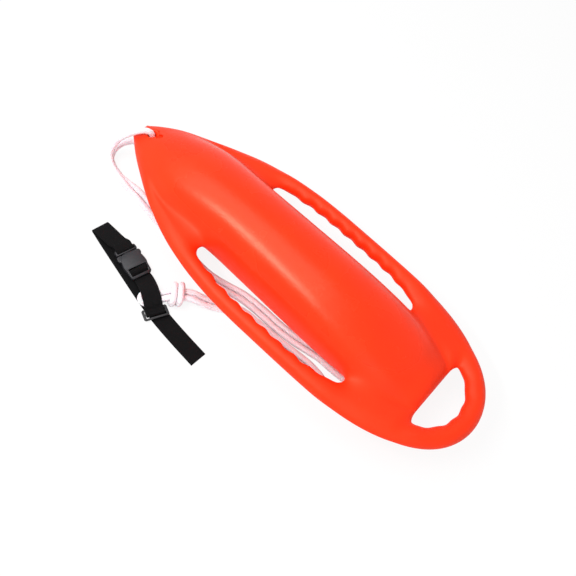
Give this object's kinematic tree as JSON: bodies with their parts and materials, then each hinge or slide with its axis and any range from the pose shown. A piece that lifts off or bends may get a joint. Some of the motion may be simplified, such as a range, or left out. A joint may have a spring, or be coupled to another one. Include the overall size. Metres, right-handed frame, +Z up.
{
  "type": "rescue buoy",
  "caption": "Boat-shaped moulded rescue float with finger grips along both sides, a tail handle, a doubled tow rope from the nose and a webbing shoulder belt with a side-release buckle.",
  "frame": {"origin": "middle of the flat land on the hull's belly, where the buoy lies on the floor", "axes": "+X along the hull towards the nose, +Y towards the side where rope and belt lie, +Z up"},
  "size_m": [0.7612, 0.3611, 0.1335],
  "materials": {
    "hull_plastic": "satin moulded polyethylene",
    "foam": "closed-cell foam",
    "plug_plastic": "satin",
    "rope_braid": "braided",
    "belt_webbing": "woven",
    "buckle_plastic": "satin"
  },
  "bodies": {
    "hull": {"hull_shell": "hull_plastic", "foam_core": "foam", "filler_plug": "plug_plastic", "rope_leg_over": "rope_braid", "rope_leg_under": "rope_braid", "rope_bight": "rope_braid", "rope_knot": "rope_braid", "belt_strap": "belt_webbing", "short_strap": "belt_webbing", "buckle_housing": "buckle_plastic"},
    "male_half": {"buckle_base": "buckle_plastic"},
    "arm_left": {"buckle_arm_left": "buckle_plastic"},
    "arm_right": {"buckle_arm_right": "buckle_plastic"},
    "slider": {"belt_slider": "buckle_plastic"}
  },
  "joints": [
    {"name": "buckle_release", "type": "slide", "parent": "hull", "child": "male_half", "axis": [0.9763, -0.2164, 0], "range_m": [0, 0.028], "deforming": ["belt_strap", "buckle_arm_left", "buckle_arm_right"]},
    {"name": "arm_left_squeeze", "type": "hinge", "parent": "male_half", "child": "arm_left", "pos_m": [0.22669, 0.17054, 0.0089], "axis": [0, 0, 1], "range_deg": [0, 8.5], "stiffness_Nm_per_rad": 0.3},
    {"name": "arm_right_squeeze", "type": "hinge", "parent": "male_half", "child": "arm_right", "pos_m": [0.22041, 0.14223, 0.0089], "axis": [0, 0, -1], "range_deg": [0, 8.5], "stiffness_Nm_per_rad": 0.3},
    {"name": "slider_travel", "type": "slide", "parent": "hull", "child": "slider", "axis": [-0.9961, 0.0886, 0], "range_m": [0, 0.045], "deforming": ["short_strap"]}
  ]
}
